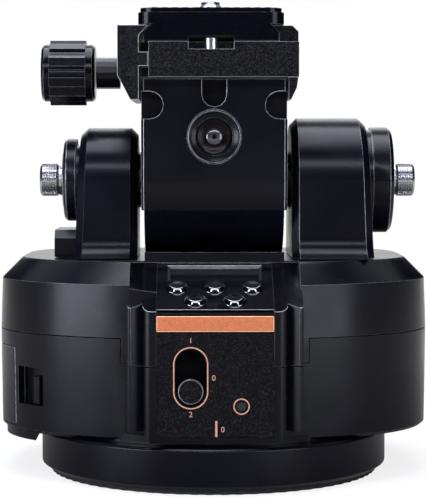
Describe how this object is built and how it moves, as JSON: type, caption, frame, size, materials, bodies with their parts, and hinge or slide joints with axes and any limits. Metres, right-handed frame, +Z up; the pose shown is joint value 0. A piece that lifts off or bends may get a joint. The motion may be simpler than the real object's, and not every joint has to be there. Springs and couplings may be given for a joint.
{
  "type": "motorised pan tilt head",
  "caption": "Motorised pan and tilt head for a camera, with a sliding quick release clamp, a front control deck and a tripod bush.",
  "frame": {"origin": "on the pan axis, at the underside of the rubber mat, which is also the bottom centre of the object's box", "axes": "+Z up along the pan axis, -Y towards the control panel and the lens, +X to the right seen from the front, along the tilt axis"},
  "size_m": [0.1182, 0.0956, 0.1293],
  "materials": {
    "shell": "satin moulded black",
    "panel": "fine sparkling black paint",
    "copper": "copper orange metallic",
    "gloss": "gloss black",
    "anodised": "black anodised, fine blasted grain",
    "steel": "bright turned steel",
    "darkSteel": "dark steel",
    "brass": "turned brass",
    "rubber": "matt black",
    "acetal": "natural white acetal",
    "board": "green circuit board",
    "glass": "dark clear",
    "battery": "blue sleeve",
    "motor": "plated steel can"
  },
  "bodies": {
    "base": {"rubber_mat": "rubber", "pan_base": "shell", "tripod_bush": "brass", "pan_shaft": "darkSteel", "pan_bearing": "steel", "pan_nut": "darkSteel", "pan_ring_gear": "acetal"},
    "head": {"lower_shell": "shell", "upper_shell": "shell", "battery_pack": "battery", "pan_gearmotor": "motor", "deck_cover": "gloss", "display_window": "glass", "button_board": "board", "decor_panel": "panel", "accent_stripe": "copper", "mode_switch": "darkSteel", "status_lens": "glass", "main_board": "board", "left_tower": "shell", "right_tower": "shell", "left_cap": "shell", "right_cap": "shell", "left_bearing": "steel", "right_bearing": "steel", "tilt_gearmotor": "motor"},
    "pan_pinion": {"pan_pinion": "brass"},
    "battery_door": {"battery_door": "shell"},
    "battery_latch": {"battery_latch": "shell"},
    "button_up": {"button_up": "gloss"},
    "button_mode": {"button_mode": "gloss"},
    "button_power": {"button_power": "gloss"},
    "button_left": {"button_left": "gloss"},
    "button_right": {"button_right": "gloss"},
    "mode_slider": {"mode_slider": "gloss"},
    "tilt_pinion": {"tilt_pinion": "brass"},
    "tilt_head": {"tilt_front_cover": "shell", "tilt_rear_cover": "shell", "lens_bezel": "gloss", "lens_glass": "glass", "camera_module": "board", "clamp_body": "anodised", "clamp_bolt": "steel", "guide_pin_front": "steel", "guide_pin_rear": "steel", "left_trunnion": "darkSteel", "right_trunnion": "darkSteel", "tilt_gear": "acetal", "left_washer": "steel", "right_washer": "steel", "left_bolt": "steel", "right_bolt": "steel", "stop_pin": "steel"},
    "jaw": {"moving_jaw": "anodised"},
    "clamp_knob": {"clamp_knob": "anodised", "clamp_screw": "anodised"},
    "plate": {"quick_plate": "anodised", "plate_pad": "rubber"},
    "camera_screw": {"camera_screw": "steel"}
  },
  "joints": [
    {"name": "pan", "type": "hinge", "parent": "base", "child": "head", "pos_m": [0, 0, 0], "axis": [0, 0, 1], "continuous": true},
    {"name": "pan_pinion_spin", "type": "hinge", "parent": "head", "child": "pan_pinion", "pos_m": [0.02765, 0.01936, 0], "axis": [0, 0, 1], "continuous": true},
    {"name": "tilt", "type": "hinge", "parent": "head", "child": "tilt_head", "pos_m": [0, 0, 0.0801], "axis": [1, 0, 0], "range_deg": [-45, 45]},
    {"name": "tilt_pinion_spin", "type": "hinge", "parent": "head", "child": "tilt_pinion", "pos_m": [0.038, 0, 0.0631], "axis": [1, 0, 0], "range_deg": [-110, 110]},
    {"name": "jaw_slide", "type": "slide", "parent": "tilt_head", "child": "jaw", "axis": [-1, 0, 0], "range_m": [0, 0.004]},
    {"name": "knob_turn", "type": "hinge", "parent": "jaw", "child": "clamp_knob", "pos_m": [-0.04, 0, 0.10965], "axis": [-1, 0, 0], "range_deg": [0, 1440]},
    {"name": "plate_slide", "type": "slide", "parent": "tilt_head", "child": "plate", "axis": [0, 1, 0], "range_m": [-0.0025, 0.02]},
    {"name": "camera_screw_spin", "type": "hinge", "parent": "plate", "child": "camera_screw", "pos_m": [-0.00085, 0, 0.124], "axis": [0, 0, 1], "continuous": true},
    {"name": "mode_slider_slide", "type": "slide", "parent": "head", "child": "mode_slider", "axis": [0, 0, 1], "range_m": [0, 0.007]},
    {"name": "battery_door_hinge", "type": "hinge", "parent": "head", "child": "battery_door", "pos_m": [-0.0588, 0.027, 0.0245], "axis": [0, 0, 1], "range_deg": [-100, 0]},
    {"name": "battery_latch_slide", "type": "slide", "parent": "head", "child": "battery_latch", "axis": [-0.6858, 0.7278, 0], "range_m": [0, 0.0025], "stiffness_N_per_m": 200},
    {"name": "button_up_press", "type": "slide", "parent": "head", "child": "button_up", "axis": [0, 0.4669, -0.8843], "range_m": [0, 0.0005], "stiffness_N_per_m": 1000},
    {"name": "button_mode_press", "type": "slide", "parent": "head", "child": "button_mode", "axis": [0, 0.4669, -0.8843], "range_m": [0, 0.0005], "stiffness_N_per_m": 1000},
    {"name": "button_power_press", "type": "slide", "parent": "head", "child": "button_power", "axis": [0, 0.4669, -0.8843], "range_m": [0, 0.0005], "stiffness_N_per_m": 1000},
    {"name": "button_left_press", "type": "slide", "parent": "head", "child": "button_left", "axis": [0, 0.4669, -0.8843], "range_m": [0, 0.0005], "stiffness_N_per_m": 1000},
    {"name": "button_right_press", "type": "slide", "parent": "head", "child": "button_right", "axis": [0, 0.4669, -0.8843], "range_m": [0, 0.0005], "stiffness_N_per_m": 1000}
  ],
  "couplings": [
    {"joint": "pan_pinion_spin", "follows": "pan", "ratio": 4.4},
    {"joint": "tilt_pinion_spin", "follows": "tilt", "ratio": -2.4},
    {"joint": "knob_turn", "follows": "jaw_slide", "rad_per_m": 6283.2}
  ]
}
